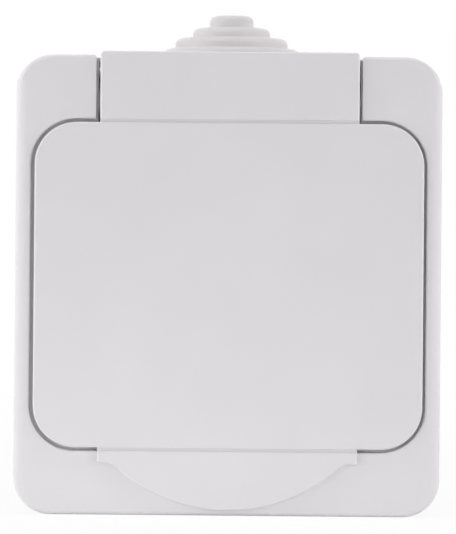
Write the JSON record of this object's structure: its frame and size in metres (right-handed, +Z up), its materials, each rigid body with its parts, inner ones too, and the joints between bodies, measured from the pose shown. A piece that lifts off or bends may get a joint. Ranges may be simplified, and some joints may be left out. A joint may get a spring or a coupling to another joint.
{
  "type": "outdoor weatherproof socket",
  "caption": "Surface-mounted wall socket in a pale moulded housing, with a sprung top-hinged lid over an earthed two-pin plug well and a stepped cable grommet on top.",
  "frame": {"origin": "centre of the flat back face that lies on the wall", "axes": "+Z up, +X to the right seen from the front, +Y into the wall; the lid faces -Y"},
  "size_m": [0.072, 0.0507, 0.0862],
  "materials": {
    "housing_plastic": "fine satin moulded",
    "grommet_rubber": "smooth soft rubber",
    "seal_rubber": "dull moulded rubber",
    "zinc_steel": "zinc plated",
    "bright_steel": "drawn wire",
    "contact_brass": "stamped strip",
    "base_plastic": "dull thermoset"
  },
  "bodies": {
    "housing": {"back_box": "housing_plastic", "housing_gasket": "seal_rubber", "front_cover": "housing_plastic", "cover_screws": "zinc_steel", "cover_screw_washers": "seal_rubber", "cable_grommet": "grommet_rubber", "hinge_pin": "bright_steel", "lid_spring": "bright_steel", "socket_insert": "housing_plastic", "insert_seal": "seal_rubber", "insert_screw": "zinc_steel", "contact_base": "base_plastic", "mechanism_screws": "zinc_steel", "line_contact": "contact_brass", "neutral_contact": "contact_brass", "earth_strap": "contact_brass", "terminal_clamps": "zinc_steel", "terminal_screws": "zinc_steel"},
    "lid_assembly": {"lid": "housing_plastic", "lid_seal": "seal_rubber"}
  },
  "joints": [
    {"name": "lid_hinge", "type": "hinge", "parent": "housing", "child": "lid_assembly", "pos_m": [0, -0.0455, 0.0356], "axis": [-1, 0, 0], "range_deg": [0, 110], "stiffness_Nm_per_rad": 0.008, "springref_deg": -57.3, "deforming": ["lid_spring"]}
  ]
}
